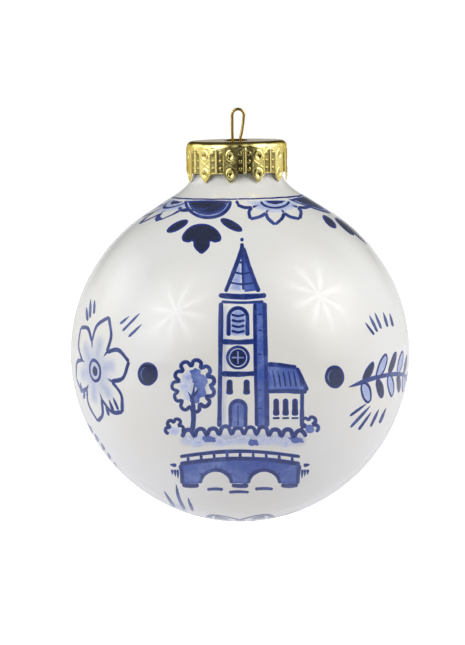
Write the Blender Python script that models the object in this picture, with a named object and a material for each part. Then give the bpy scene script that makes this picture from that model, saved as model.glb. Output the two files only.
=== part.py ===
"""Souvenir ball ornament: a hollow glazed ceramic ball, a pressed metal crown cap
over its neck, and one sprung wire bent into a hanging loop and two legs.

Frame: metres, +Z up. The origin is on the ball's axis, level with the inside of
the loop's top, where a ribbon or hook carries the ornament. The decorated front
faces -Y.
"""

import math

import bmesh
import bpy
from mathutils import Vector

MM = 0.001

# Driving dimensions, in millimetres ------------------------------------------
# Ball
BALL_R = 40.0  # radius at the widest point, and of the lower half
SHOULDER_RISE = 39.25  # half height of the slightly squat upper half
BALL_CENTRE_Z = -57.0
WALL = 2.6  # cast and glazed wall
NECK_R = 10.0  # outside of the neck, under the cap
BORE_R = 7.8  # inside of the neck
RIM_ABOVE_CENTRE = 49.4  # top of the neck's rim
RIM_ROUND = 0.7  # rounding of the rim's edges
FLARE_TOP = 44.4  # the neck begins to flare here, above the ball's centre
FLARE_FOOT = (14.87, 37.3)  # the flare meets the straight cone here
FLARE_SLOPE_DEG = 58.0  # the cone's slope, from the vertical
SHOULDER_TOP = 33.04  # the shoulder's ellipse begins here

# Crown cap
CAP_R = 11.8  # outside of the skirt
CAP_TOP_Z = -7.0  # flat part of the top
CAP_SHEET = 0.3
CAP_SHOULDER_R = 1.4  # rounding between top and skirt
CAP_BOSS_RISE = 0.3  # raised lip round the hole
CAP_BOSS_R = 3.0  # foot of the lip
CAP_HOLE_R = 1.6
CAP_TEETH = 11
CAP_TIP_DROP = 9.45  # tooth tips, below the flat part of the top
CAP_TOOTH_LENGTH = 2.05  # tip to valley
CAP_TOOTH_HALF_W = 1.55  # half width of a tooth where it leaves the valley
CAP_TIP_IN = 0.1  # the tips are pressed in by this much
CAP_FIRST_TOOTH_DEG = -7.5  # from the front, towards +X

# Wire hanger
WIRE_R = 0.35
LOOP_R = 1.385  # loop's bend, at the wire's middle
LOOP_OFFSET_X = 0.455  # the loop leans a little to one side
SHANK_X = 0.95  # the two shanks, where they pass the cap's hole
LEG_CLEAR = 0.3  # gap between the legs and the neck's bore
LEG_TIP = (4.6, -33.2)  # legs' ends, x and z

# Mesh fineness
BALL_STEPS = 40
CAP_STEPS_PER_TOOTH = 8
WIRE_SIDES_RES = 2


def clear_scene():
    for ob in list(bpy.data.objects):
        bpy.data.objects.remove(ob, do_unlink=True)


def material(name, colour, roughness, metallic, coat=0.0):
    mat = bpy.data.materials.new(name)
    mat.use_nodes = True
    bsdf = mat.node_tree.nodes["Principled BSDF"]
    bsdf.inputs["Base Color"].default_value = (*colour, 1.0)
    bsdf.inputs["Roughness"].default_value = roughness
    bsdf.inputs["Metallic"].default_value = metallic
    bsdf.inputs["Coat Weight"].default_value = coat
    return mat


def front_angle(deg):
    """Direction in the XY plane, deg round from the front (-Y) towards +X."""
    a = math.radians(deg)
    return Vector((math.sin(a), -math.cos(a), 0.0))


def arc(cx, cz, r, start_deg, end_deg, steps):
    pts = []
    for i in range(steps + 1):
        a = math.radians(start_deg + (end_deg - start_deg) * i / steps)
        pts.append((cx + r * math.cos(a), cz + r * math.sin(a)))
    return pts


def bezier(p0, p1, p2, p3, steps):
    pts = []
    for i in range(steps + 1):
        t = i / steps
        s = 1.0 - t
        pts.append(
            tuple(
                s**3 * a + 3 * s * s * t * b + 3 * s * t * t * c + t**3 * d
                for a, b, c, d in zip(p0, p1, p2, p3)
            )
        )
    return pts


def without_repeats(points):
    kept = [points[0]]
    for p in points[1:]:
        if math.dist(p, kept[-1]) > 0.02:
            kept.append(p)
    return kept


def turned(name, profile, steps, start_deg, centre_z, mat):
    """A profile of (radius, height) in mm, spun about Z into a closed body."""
    bm = bmesh.new()
    d = front_angle(start_deg)
    verts = [
        bm.verts.new((d.x * r * MM, d.y * r * MM, z * MM)) for r, z in profile
    ]
    edges = [bm.edges.new((a, b)) for a, b in zip(verts, verts[1:])]
    if profile[0][0] > 1e-6:
        edges.append(bm.edges.new((verts[-1], verts[0])))
    bmesh.ops.spin(
        bm,
        geom=verts + edges,
        cent=(0, 0, 0),
        axis=(0, 0, 1),
        dvec=(0, 0, 0),
        angle=2 * math.pi,
        steps=steps,
        use_merge=True,
        use_duplicate=False,
    )
    bmesh.ops.remove_doubles(bm, verts=bm.verts, dist=1e-6)
    bmesh.ops.recalc_face_normals(bm, faces=bm.faces)
    mesh = bpy.data.meshes.new(name)
    bm.to_mesh(mesh)
    bm.free()
    mesh.shade_smooth()
    mesh.set_sharp_from_angle(angle=math.radians(40))
    mesh.materials.append(mat)
    ob = bpy.data.objects.new(name, mesh)
    ob.location = (0, 0, centre_z * MM)
    bpy.context.collection.objects.link(ob)
    return ob


# Ball ------------------------------------------------------------------------
def shoulder_r(h):
    """Outside radius of the upper half at height h above the centre."""
    return BALL_R * math.sqrt(max(0.0, 1.0 - (h / SHOULDER_RISE) ** 2))


def ball_outside():
    """Outside of the ball, from the bottom pole up to the rim's outer edge."""
    pts = [(0.0, -BALL_R)]
    pts += arc(0, 0, BALL_R, -81, 0, 11)
    for i in range(1, 7):
        h = SHOULDER_TOP * math.sin(math.radians(90) * i / 6)
        pts.append((shoulder_r(h), h))
    slope = math.radians(FLARE_SLOPE_DEG)
    foot = FLARE_FOOT
    pts += bezier(
        foot,
        (foot[0] - 4.6 * math.sin(slope), foot[1] + 4.6 * math.cos(slope)),
        (NECK_R, FLARE_TOP - 2.4),
        (NECK_R, FLARE_TOP),
        6,
    )
    return pts


def ball_profile():
    rim = RIM_ABOVE_CENTRE
    pts = ball_outside()
    pts += arc(NECK_R - RIM_ROUND, rim - RIM_ROUND, RIM_ROUND, 0, 90, 3)
    pts += arc(BORE_R + RIM_ROUND, rim - RIM_ROUND, RIM_ROUND, 90, 180, 3)
    # The bore runs down to the ball's hollow, with a rounded lower edge.
    inner = BALL_R - WALL
    inner_rise = SHOULDER_RISE - WALL
    meet = inner_rise * math.sqrt(1.0 - ((BORE_R + 2.0) / inner) ** 2)
    pts += bezier(
        (BORE_R, meet + 2.6),
        (BORE_R, meet + 1.2),
        (BORE_R + 0.7, meet + 0.3),
        (BORE_R + 2.0, meet),
        4,
    )
    top_deg = math.degrees(math.asin(meet / inner_rise))
    for i in range(1, 8):
        a = math.radians(top_deg * (1 - i / 7))
        pts.append((inner * math.cos(a), inner_rise * math.sin(a)))
    pts += arc(0, 0, inner, 0, -80, 10)
    pts.append((0.0, -inner))
    return without_repeats(pts)


# Crown cap -------------------------------------------------------------------
def tooth_drop(deg_from_tooth):
    """How far the skirt's edge hangs below the valleys, this far round from a tooth."""
    u = abs(math.radians(deg_from_tooth)) * CAP_R
    blunt = 0.25
    u = math.sqrt(u * u + blunt * blunt) - blunt
    t = max(0.0, 1.0 - u / (CAP_TOOTH_HALF_W - 0.05))
    return CAP_TOOTH_LENGTH * t**0.92


def cap_side(offset):
    """Top and skirt as (radius, drop below the flat top), at a distance inside the outer face."""
    r = CAP_SHOULDER_R - offset
    pts = [
        (CAP_HOLE_R, CAP_BOSS_RISE - offset),
        (CAP_HOLE_R + 0.45, CAP_BOSS_RISE - offset),
        (CAP_BOSS_R, -offset),
        (6.5, -offset),
    ]
    pts += arc(CAP_R - CAP_SHOULDER_R, -CAP_SHOULDER_R, r, 90, 0, 4)
    return pts


def make_cap(mat):
    valley = -(CAP_TIP_DROP - CAP_TOOTH_LENGTH)
    wall = [0.45, 0.75, 1.0]
    outer = cap_side(0.0)
    inner = cap_side(CAP_SHEET)
    shoulder = -CAP_SHOULDER_R
    outer += [(CAP_R, shoulder + (valley - shoulder) * t) for t in wall]
    inner += [(CAP_R - CAP_SHEET, shoulder + (valley - shoulder) * t) for t in wall]
    profile = outer + inner[::-1]
    steps = CAP_TEETH * CAP_STEPS_PER_TOOTH
    ob = turned(
        "crown_cap", profile, steps, CAP_FIRST_TOOTH_DEG, CAP_TOP_Z, mat
    )
    # Draw the teeth: the skirt's lower rows stretch down, and the tips lean in.
    pitch = 360.0 / CAP_TEETH
    for v in ob.data.vertices:
        z = v.co.z / MM
        if z >= shoulder - 0.01:
            continue
        t = (z - shoulder) / (valley - shoulder)
        deg = math.degrees(math.atan2(v.co.x, -v.co.y)) - CAP_FIRST_TOOTH_DEG
        deg = (deg + pitch / 2) % pitch - pitch / 2
        drop = tooth_drop(deg)
        v.co.z = (z - drop * t) * MM
        lean = 1.0 - CAP_TIP_IN / CAP_R * (drop / CAP_TOOTH_LENGTH) * t
        v.co.x *= lean
        v.co.y *= lean
    return ob


# Wire hanger -----------------------------------------------------------------
def smooth_through(points, per_span):
    """A Catmull-Rom curve through the points."""
    pts = [Vector(p) for p in points]
    ends = [pts[0] * 2 - pts[1]] + pts + [pts[-1] * 2 - pts[-2]]
    out = []
    for i in range(1, len(ends) - 2):
        a, b, c, d = ends[i - 1 : i + 3]
        for k in range(per_span):
            t = k / per_span
            out.append(
                0.5
                * (
                    2 * b
                    + (c - a) * t
                    + (2 * a - 5 * b + 4 * c - d) * t * t
                    + (3 * b - a - 3 * c + d) * t**3
                )
            )
    out.append(pts[-1])
    return out


def leg(side):
    """One leg, from the cap's hole to its tip. It springs out, bears on the neck's bore and turns in."""
    reach = BORE_R - LEG_CLEAR - WIRE_R
    tip_x, tip_z = LEG_TIP
    stations = [
        (SHANK_X, -6.2),
        (SHANK_X, -7.1),
        (SHANK_X + 0.25, -8.0),
        (SHANK_X + 1.6, -9.9),
        (SHANK_X + 3.6, -12.2),
        (reach - 0.65, -15.2),
        (reach, -19.0),
        (reach - 0.2, -23.0),
        (reach - 0.9, -27.2),
        (tip_x, tip_z),
    ]
    return [
        (side * p.x, 0.0, p.y)
        for p in smooth_through([(x, z, 0) for x, z in stations], 3)
    ]


def wire_path():
    top_z = WIRE_R  # the wire's middle runs a radius above the hang point
    cz = top_z - LOOP_R
    bend = [
        (LOOP_OFFSET_X + LOOP_R * math.cos(math.radians(a)), 0.0, cz + LOOP_R * math.sin(math.radians(a)))
        for a in range(0, 181, 12)
    ]
    right = leg(1)
    left = leg(-1)
    right_side = smooth_through(
        [(bend[0][0], bend[0][2], 0), (1.62, -2.9, 0), (1.28, -4.9, 0), (SHANK_X, -6.2, 0)], 2
    )
    left_side = smooth_through(
        [(bend[-1][0], bend[-1][2], 0), (-0.95, -2.9, 0), (-0.97, -4.9, 0), (-SHANK_X, -6.2, 0)], 2
    )
    pts = list(reversed(right))
    pts += [(p.x, 0.0, p.y) for p in reversed(right_side[1:-1])]
    pts += bend
    pts += [(p.x, 0.0, p.y) for p in left_side[1:-1]]
    pts += left
    return pts


def make_wire(mat):
    curve = bpy.data.curves.new("wire_hanger", "CURVE")
    curve.dimensions = "3D"
    curve.bevel_depth = WIRE_R * MM
    curve.bevel_resolution = WIRE_SIDES_RES
    curve.use_fill_caps = True
    spline = curve.splines.new("POLY")
    pts = wire_path()
    spline.points.add(len(pts) - 1)
    for point, p in zip(spline.points, pts):
        point.co = (p[0] * MM, p[1] * MM, p[2] * MM, 1.0)
    spline.use_smooth = True
    curve.materials.append(mat)
    ob = bpy.data.objects.new("wire_hanger", curve)
    bpy.context.collection.objects.link(ob)
    return ob


def main():
    clear_scene()
    glaze = material("white_glaze", (0.80, 0.78, 0.73), 0.12, 0.0, 0.6)
    cap_gold = material("cap_gold", (0.78, 0.62, 0.22), 0.16, 1.0)
    wire_gold = material("wire_gold", (0.52, 0.38, 0.14), 0.28, 1.0)

    hang_point = bpy.data.objects.new("hang_point", None)
    hang_point.empty_display_size = 0.005
    bpy.context.collection.objects.link(hang_point)

    wire = make_wire(wire_gold)
    wire.parent = hang_point
    cap = make_cap(cap_gold)
    cap.parent = hang_point
    ball = turned(
        "ceramic_ball", ball_profile(), BALL_STEPS, 0.0, BALL_CENTRE_Z, glaze
    )
    ball.parent = cap
    ball.location = (0, 0, (BALL_CENTRE_Z - CAP_TOP_Z) * MM)


main()
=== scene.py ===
"""Looks of the hand-painted glazed ball ornament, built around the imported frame."""

import math
import random

import bmesh
import bpy
import numpy as np
from mathutils import Matrix, Vector
from mathutils.geometry import delaunay_2d_cdt


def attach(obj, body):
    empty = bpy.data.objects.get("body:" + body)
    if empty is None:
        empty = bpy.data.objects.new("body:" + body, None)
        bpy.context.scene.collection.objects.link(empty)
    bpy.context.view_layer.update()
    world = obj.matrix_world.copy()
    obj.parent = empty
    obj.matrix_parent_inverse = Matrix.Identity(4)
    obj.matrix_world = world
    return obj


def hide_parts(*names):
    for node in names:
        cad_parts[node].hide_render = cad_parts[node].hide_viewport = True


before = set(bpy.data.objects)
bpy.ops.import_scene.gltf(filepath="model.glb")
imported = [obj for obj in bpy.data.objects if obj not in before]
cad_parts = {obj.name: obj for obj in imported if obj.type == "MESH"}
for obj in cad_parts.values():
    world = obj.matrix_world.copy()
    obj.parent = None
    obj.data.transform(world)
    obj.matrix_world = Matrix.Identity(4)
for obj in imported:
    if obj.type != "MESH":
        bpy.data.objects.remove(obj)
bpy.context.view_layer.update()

MM = 0.001
RNG = random.Random(11)
NP_RNG = np.random.default_rng(11)
scene = bpy.context.scene
scene.view_settings.view_transform = "Standard"

# Sizes shared with the CAD part, in mm; heights h are above the ball's centre.
BALL_Z = -57.0
BALL_R = 40.0
SHOULDER_RISE = 39.25
SHOULDER_TOP = 33.04
FLARE_FOOT = (14.87, 37.3)
FLARE_SLOPE = math.radians(58)
FLARE_TOP = 44.4
NECK_R = 10.0
BORE_R = 7.8
WALL = 2.6
RIM = 49.4
RIM_ROUND = 0.7
CAP_TOP_Z = -7.0
CAP_R = 11.8
CAP_SHEET = 0.3
CAP_SHOULDER_R = 1.4
CAP_TEETH = 11
CAP_FIRST_TOOTH = -7.5
CAP_VALLEY = 7.4
CAP_TOOTH = 2.05
WIRE_R = 0.35
LOOP_R = 1.385
LOOP_X = 0.455


def lin(rgb):
    """Screen colour 0-255 to a linear RGBA."""
    out = []
    for c in rgb:
        c = c / 255
        out.append(c / 12.92 if c <= 0.04045 else ((c + 0.055) / 1.055) ** 2.4)
    return (*out, 1.0)


# Camera ------------------------------------------------------------------------
FOCAL = 5082.0  # in picture units, 645 of them up the frame
DIST = 1200.0
EL = math.radians(4.2)
ROLL = math.radians(-0.95)
FWD = Vector((0, math.cos(EL), -math.sin(EL)))
R0 = Vector((1, 0, 0))
U0 = Vector((0, math.sin(EL), math.cos(EL)))
RIGHT = R0 * math.cos(ROLL) + U0 * math.sin(ROLL)
UP = U0 * math.cos(ROLL) - R0 * math.sin(ROLL)
UNIT = DIST / FOCAL  # mm per picture unit at the ball's centre
CENTRE = Vector((0, 0, BALL_Z))
EYE = CENTRE - FWD * DIST - RIGHT * (7.5 * UNIT) + UP * (29.5 * UNIT)

cam_data = bpy.data.cameras.new("camera")
cam_data.sensor_fit = "AUTO"
cam_data.sensor_width = 36
cam_data.lens = FOCAL / 645 * 36
cam_data.clip_start = 0.05
cam_data.clip_end = 200
camera = bpy.data.objects.new("camera", cam_data)
rot = Matrix((RIGHT, UP, -FWD)).transposed().to_4x4()
camera.matrix_world = Matrix.Translation(EYE * MM) @ rot
scene.collection.objects.link(camera)
scene.camera = camera


# Ball profile --------------------------------------------------------------------
def bezier(a, b, c, d, n):
    t = np.linspace(0, 1, n + 1)[:, None]
    a, b, c, d = (np.array(p, float) for p in (a, b, c, d))
    return (1 - t) ** 3 * a + 3 * (1 - t) ** 2 * t * b + 3 * (1 - t) * t * t * c + t**3 * d


def arc(cx, cy, r, a0, a1, n):
    a = np.radians(np.linspace(a0, a1, n + 1))
    return np.stack([cx + r * np.cos(a), cy + r * np.sin(a)], 1)


def joined(*parts):
    pts = np.concatenate(parts)
    keep = np.concatenate([[True], np.hypot(*np.diff(pts, axis=0).T) > 1e-5])
    return pts[keep]


def shoulder_r(h):
    return BALL_R * np.sqrt(np.maximum(0, 1 - (h / SHOULDER_RISE) ** 2))


def outside():
    hs = SHOULDER_TOP * np.sin(np.radians(np.linspace(0, 90, 500)))
    foot = FLARE_FOOT
    flare = bezier(
        foot,
        (foot[0] - 4.6 * math.sin(FLARE_SLOPE), foot[1] + 4.6 * math.cos(FLARE_SLOPE)),
        (NECK_R, FLARE_TOP - 2.4),
        (NECK_R, FLARE_TOP),
        160,
    )
    cone_top = np.array([[float(shoulder_r(SHOULDER_TOP)), SHOULDER_TOP]])
    cone = cone_top + (np.array([foot]) - cone_top) * np.linspace(0, 1, 60)[:, None]
    return joined(
        arc(0, 0, BALL_R, -90, 0, 900),
        np.stack([shoulder_r(hs), hs], 1),
        cone,
        flare,
        np.array([[NECK_R, RIM - RIM_ROUND]]),
    )


PROFILE = outside()
PR, PH = PROFILE[:, 0].copy(), PROFILE[:, 1].copy()
PR[0] = 0.0
PS = np.concatenate([[0], np.cumsum(np.hypot(np.diff(PR), np.diff(PH)))])
TR, TH = np.gradient(PR, PS), np.gradient(PH, PS)
# The corner between ball and flare is eased so that paint and glaze read as one skin.
KERNEL = np.hanning(31)
KERNEL /= KERNEL.sum()
NR = np.convolve(np.pad(TH, 15, "edge"), KERNEL, "valid")
NZ = np.convolve(np.pad(-TR, 15, "edge"), KERNEL, "valid")
NLEN = np.hypot(NR, NZ)
NR, NZ = NR / NLEN, NZ / NLEN


def on_profile(s, az):
    r, h = np.interp(s, PS, PR), np.interp(s, PS, PH)
    nr, nz = np.interp(s, PS, NR), np.interp(s, PS, NZ)
    sn, cs = np.sin(az), np.cos(az)
    pos = np.stack([r * sn, -r * cs, h + BALL_Z], -1)
    nor = np.stack([nr * sn, -nr * cs, nz], -1)
    return pos, nor


def arc_at(h):
    return float(np.interp(h, PH, PS))


def turn(p, deg):
    a = math.radians(deg)
    x, y = p[..., 0].copy(), p[..., 1].copy()
    out = p.copy()
    out[..., 0] = x * math.cos(a) - y * math.sin(a)
    out[..., 1] = x * math.sin(a) + y * math.cos(a)
    return out


class Front:
    """Lays a drawing, seen square-on in picture units from the ball's centre, onto the glaze."""

    def __init__(self, rot=0.0, mirror=False):
        self.unit, self.rot, self.mirror = UNIT, rot, mirror

    def __call__(self, q):
        q = np.asarray(q, float)
        eye = np.array(EYE)
        d = (
            np.array(FWD) * FOCAL
            + np.array(RIGHT) * (q[:, :1] + 7.5)
            + np.array(UP) * (q[:, 1:] - 29.5)
        )
        d /= np.linalg.norm(d, axis=1)[:, None]
        hi = ((np.array(CENTRE) - eye) * d).sum(1)
        lo = hi - 70.0
        for _ in range(34):
            mid = (lo + hi) / 2
            p = eye + d * mid[:, None]
            r = np.interp(p[:, 2] - BALL_Z, PH, PR, left=0, right=0)
            inside = np.hypot(p[:, 0], p[:, 1]) < r
            hi = np.where(inside, mid, hi)
            lo = np.where(inside, lo, mid)
        p = eye + d * hi[:, None]
        az = np.arctan2(p[:, 0], -p[:, 1])
        if self.mirror:
            az = -az
        return on_profile(np.interp(p[:, 2] - BALL_Z, PH, PS), az + math.radians(self.rot))

    def flat(self, p):
        """Back from places on the ball, in mm, to the drawing; the far side goes far away."""
        p = turn(p, -self.rot)
        if self.mirror:
            p[:, 0] *= -1
        v = p - np.array(EYE)
        depth = v @ np.array(FWD)
        q = np.stack(
            [v @ np.array(RIGHT) / depth * FOCAL - 7.5, v @ np.array(UP) / depth * FOCAL + 29.5], 1
        )
        q[depth > DIST + 4] = 1e4
        return q


class Local:
    """A drawing in mm about one place: x along the parallel, y up the meridian."""

    def __init__(self, az, h, turned=0.0, flip=1):
        self.unit = 1.0
        self.az, self.s = math.radians(az), arc_at(h)
        self.c, self.sn = math.cos(math.radians(turned)), math.sin(math.radians(turned))
        self.flip = flip

    def __call__(self, q):
        q = np.asarray(q, float)
        x = (q[:, 0] * self.c - q[:, 1] * self.sn) * self.flip
        y = q[:, 0] * self.sn + q[:, 1] * self.c
        s = self.s + y
        return on_profile(s, self.az + x / np.maximum(0.5, np.interp(s, PS, PR)))

    def flat(self, p):
        az = (np.arctan2(p[:, 0], -p[:, 1]) - self.az + math.pi) % (2 * math.pi) - math.pi
        s = np.interp(p[:, 2] - BALL_Z, PH, PS)
        x, y = az * np.hypot(p[:, 0], p[:, 1]) * self.flip, s - self.s
        return np.stack([x * self.c + y * self.sn, -x * self.sn + y * self.c], 1)


class Pole:
    """A drawing in mm about the bottom pole; y points to the front."""

    unit = 1.0

    def __call__(self, q):
        q = np.asarray(q, float)
        return on_profile(np.hypot(q[:, 0], q[:, 1]), np.arctan2(q[:, 0], q[:, 1]))

    def flat(self, p):
        s = np.interp(p[:, 2] - BALL_Z, PH, PS)
        az = np.arctan2(p[:, 0], -p[:, 1])
        return np.stack([s * np.sin(az), s * np.cos(az)], 1)


# Paint -----------------------------------------------------------------------------
STROKE = 1.14  # how loaded the brush is


def smooth_path(pts, step, loop=False, curved=True):
    """Points every `step` along a curve (or straight legs) through the given ones."""
    p = np.array(pts, float)
    if curved and len(p) > 2:
        if loop:
            e = np.concatenate([p[-1:], p, p[:2]])
        else:
            e = np.concatenate([2 * p[:1] - p[1:2], p, 2 * p[-1:] - p[-2:-1]])
        t = np.linspace(0, 1, 13)[:-1, None]
        out = []
        for i in range(1, len(e) - 2):
            a, b, c, d = e[i - 1], e[i], e[i + 1], e[i + 2]
            out.append(
                0.5 * (2 * b + (c - a) * t + (2 * a - 5 * b + 4 * c - d) * t**2 + (3 * b - a - 3 * c + d) * t**3)
            )
        p = np.concatenate(out + [p[:1] if loop else p[-1:]])
    elif loop:
        p = np.concatenate([p, p[:1]])
    s = np.concatenate([[0], np.cumsum(np.hypot(*np.diff(p, axis=0).T))])
    keep = np.concatenate([[True], np.diff(s) > 1e-9])
    p, s = p[keep], s[keep]
    n = max(2, int(math.ceil(s[-1] / step)))
    at = np.linspace(0, s[-1], n + 1)
    return np.stack([np.interp(at, s, p[:, 0]), np.interp(at, s, p[:, 1])], 1), at


def waver(at, length, seed):
    """A slow wavering in -1..1 along a stroke."""
    r = random.Random(seed)
    out = np.zeros_like(at)
    for k, a in ((1.0, 0.6), (2.3, 0.3), (4.9, 0.15)):
        out += a * np.sin(at / length * k * 2 * math.pi + r.uniform(0, 6.28))
    return out


class Paint:
    """One coat of paint: thin closed reliefs sunk into the glaze."""

    def __init__(self, name):
        self.name, self.v, self.f, self.core, self.tone, self.count = name, [], [], [], [], 0
        self.strokes = 0

    def add(self, verts, faces, core, tone):
        self.f += [tuple(i + self.count for i in f) for f in faces]
        self.v.append(verts)
        self.core.append(core)
        self.tone.append(np.full(len(verts), tone))
        self.count += len(verts)
        self.strokes += 1

    def stroke(self, chart, pts, w, lift=0.030, loop=False, curved=True, tip=(1.0, 1.0), tone=0.0, wob=0.13):
        """A brush stroke of width w in the chart's units. tip 0 ends in a point, 1 is round."""
        step = 0.34 / chart.unit
        line, at = smooth_path(pts, step, loop, curved)
        total = at[-1]
        w *= STROKE
        hw = w / 2
        if not loop:
            extra = hw * np.array([0.06, 0.25, 0.6])
            cuts = np.unique(np.concatenate([at, extra[extra < total / 2], total - extra[extra < total / 2]]))
            line = np.stack([np.interp(cuts, at, line[:, 0]), np.interp(cuts, at, line[:, 1])], 1)
            at = cuts
        else:
            line, at = line[:-1], at[:-1]
        if loop:
            d = np.roll(line, -1, 0) - np.roll(line, 1, 0)
        else:
            d = np.gradient(line, axis=0)
        d /= np.maximum(1e-9, np.hypot(*d.T))[:, None]
        side = np.stack([-d[:, 1], d[:, 0]], 1)
        half = hw * (1 + wob * waver(at, max(total, 8 / chart.unit), self.strokes))
        if loop:
            blend = np.clip(np.minimum(at, total - at) / (3 * hw), 0, 1)
            half = hw + (half - hw) * blend
        else:
            for dist, kind in ((at, tip[0]), (total - at, tip[1])):
                cap = hw if kind >= 1 else hw + (1 - kind) * min(total * 0.8, 12 * hw)
                k = np.clip(dist / cap, 0, 1)
                rounded = np.sqrt(np.maximum(0, 1 - (1 - k) ** 2))
                half = half * np.maximum(0.08, rounded if kind >= 1 else rounded * kind + k * (1 - kind))
        lift = lift + 0.0004 * (self.strokes % 12)
        cols, core = [], []
        for off, up, c in (
            (-1.0, lift * 0.45, 0.0),
            (-0.55, lift, 1.0),
            (0.55, lift, 1.0),
            (1.0, lift * 0.45, 0.0),
            (0.9, -0.05, 0.0),
            (-0.9, -0.05, 0.0),
        ):
            pos, nor = chart(line + side * (half * off)[:, None])
            cols.append(pos + nor * up)
            core.append(np.full(len(line), c))
        n, m = len(line), len(cols)
        verts = np.stack(cols, 1).reshape(-1, 3)
        faces = []
        flip = getattr(chart, "flip", 1) < 0 or getattr(chart, "mirror", False)
        flip = flip != isinstance(chart, Pole)
        for i in range(n if loop else n - 1):
            j = (i + 1) % n
            for k in range(m):
                q = (i * m + k, j * m + k, j * m + (k + 1) % m, i * m + (k + 1) % m)
                faces.append(q if flip else q[::-1])
        if not loop:
            a, b = tuple(range(m)), tuple((n - 1) * m + k for k in range(m))
            faces += [a[::-1], b] if flip else [a, b[::-1]]
        loaded = 0.20 * random.Random(self.strokes * 7 + 3).random() ** 2
        self.add(verts, faces, np.stack(core, 1).reshape(-1), min(1.0, tone + loaded))

    def fill(self, chart, pts, lift=0.022, grid=0.42, edge=0.45, curved=True, tone=0.0):
        """A filled patch. core climbs from 0 at its outline to 1 `edge` mm inside."""
        line, _ = smooth_path(pts, 0.34 / chart.unit, True, curved)
        line = line[:-1]
        area = np.sum(line[:, 0] * np.roll(line[:, 1], -1) - np.roll(line[:, 0], -1) * line[:, 1])
        if area < 0:
            line = line[::-1]
        g = grid / chart.unit
        xs = np.arange(line[:, 0].min(), line[:, 0].max(), g)
        ys = np.arange(line[:, 1].min(), line[:, 1].max(), g * 0.87)
        gx, gy = np.meshgrid(xs, ys)
        gx[1::2] += g / 2
        q = np.stack([gx.ravel(), gy.ravel()], 1)
        q = q[in_polygon(q, line)]
        if len(q):
            q = q[distance(q, line) > g * 0.55]
        coords = [Vector(p) for p in np.concatenate([line, q])]
        out = delaunay_2d_cdt(coords, [], [list(range(len(line)))], 1, 1e-7)
        flat = np.array([tuple(v) for v in out[0]])
        tris = [tuple(f) for f in out[2]]
        core = np.clip(distance(flat, line) * chart.unit / edge, 0, 1)
        n = len(flat)
        pos, nor = chart(flat)
        lift = lift + 0.0003 * (self.strokes % 12)
        top = pos + nor * (lift * (0.45 + 0.55 * core))[:, None]
        low = pos - nor * 0.05
        flip = getattr(chart, "flip", 1) < 0 or getattr(chart, "mirror", False)
        flip = flip != isinstance(chart, Pole)
        directed = {}
        faces = []
        for t in tris:
            a, b, c = (flat[i] for i in t)
            if (b[0] - a[0]) * (c[1] - a[1]) - (b[1] - a[1]) * (c[0] - a[0]) < 0:
                t = t[::-1]
            faces.append(t[::-1] if flip else t)
            low_t = tuple(i + n for i in t)
            faces.append(low_t if flip else low_t[::-1])
            for i in range(len(t)):
                directed[(t[i], t[(i + 1) % len(t)])] = True
        for a, b in directed:
            if (b, a) not in directed:
                wall = (a, a + n, b + n, b)
                faces.append(wall[::-1] if flip else wall)
        self.add(np.concatenate([top, low]), faces, np.concatenate([core, core * 0]), tone)

    def build(self, mat):
        ob = mesh_object(self.name, np.concatenate(self.v), self.f, mat)
        for key, values in (("core", self.core), ("tone", self.tone)):
            attr = ob.data.attributes.new(key, "FLOAT", "POINT")
            attr.data.foreach_set("value", np.concatenate(values).astype(np.float32))
        ob.data.set_sharp_from_angle(angle=math.radians(25))
        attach(ob, "ball")
        return ob


def in_polygon(q, line):
    inside = np.zeros(len(q), bool)
    x, y = q[:, 0], q[:, 1]
    for (x0, y0), (x1, y1) in zip(line, np.roll(line, -1, 0)):
        if y0 == y1:
            continue
        hit = ((y0 > y) != (y1 > y)) & (x < (x1 - x0) * (y - y0) / (y1 - y0) + x0)
        inside ^= hit
    return inside


def distance(q, line):
    a, b = line, np.roll(line, -1, 0)
    best = np.full(len(q), 1e9)
    ab = b - a
    l2 = np.maximum(1e-12, (ab**2).sum(1))
    for i in range(len(a)):
        t = np.clip(((q - a[i]) @ ab[i]) / l2[i], 0, 1)
        best = np.minimum(best, np.hypot(*(q - a[i] - t[:, None] * ab[i]).T))
    return best


def mesh_object(name, verts_mm, faces, mat):
    mesh = bpy.data.meshes.new(name)
    mesh.from_pydata((np.asarray(verts_mm) * MM).tolist(), [], faces)
    mesh.validate()
    mesh.shade_smooth()
    mesh.materials.append(mat)
    ob = bpy.data.objects.new(name, mesh)
    scene.collection.objects.link(ob)
    return ob


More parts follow.
